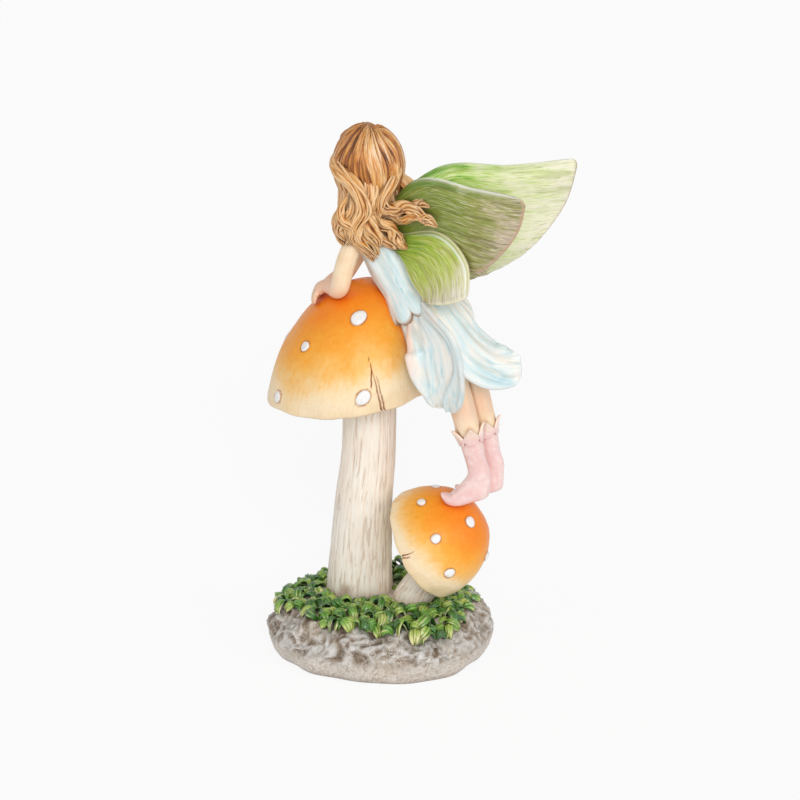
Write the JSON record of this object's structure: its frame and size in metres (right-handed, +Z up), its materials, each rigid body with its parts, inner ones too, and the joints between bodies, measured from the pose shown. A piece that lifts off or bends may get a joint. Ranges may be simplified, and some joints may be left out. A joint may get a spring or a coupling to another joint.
{
  "type": "fairy figurine",
  "caption": "Cast garden figurine of a winged fairy leaning over a tall spotted mushroom, her feet on a low one, on a mossy rock base.",
  "frame": {"origin": "middle of the flat underside of the rock base, on the surface it stands on", "axes": "+Z up, +X towards the low mushroom, -Y towards the side from which the fairy's back is seen"},
  "size_m": [0.1564, 0.103, 0.2749],
  "materials": {
    "painted_resin": "hand-painted cast polyresin, satin",
    "cap_paint": "orange, shaded to cream at the rim, satin",
    "spot_paint": "raised white spots, satin",
    "stem_paint": "cream with a brown wash in the grain",
    "rock_paint": "grey, dry-brushed pale over a brown wash",
    "moss_paint": "dark green, dry-brushed yellow-green",
    "skin_paint": "peach with a warm blush",
    "hair_paint": "golden brown over dark grooves, dry-brushed pale",
    "dress_paint": "pale blue washed over cream",
    "wing_paint": "green at the root, shaded to cream, light veins",
    "boot_paint": "soft pink, glossy",
    "face_paint": "fine brown lines of lashes and brows, rose lips"
  },
  "bodies": {
    "root": {"fairy_figurine": "painted_resin"}
  },
  "joints": []
}
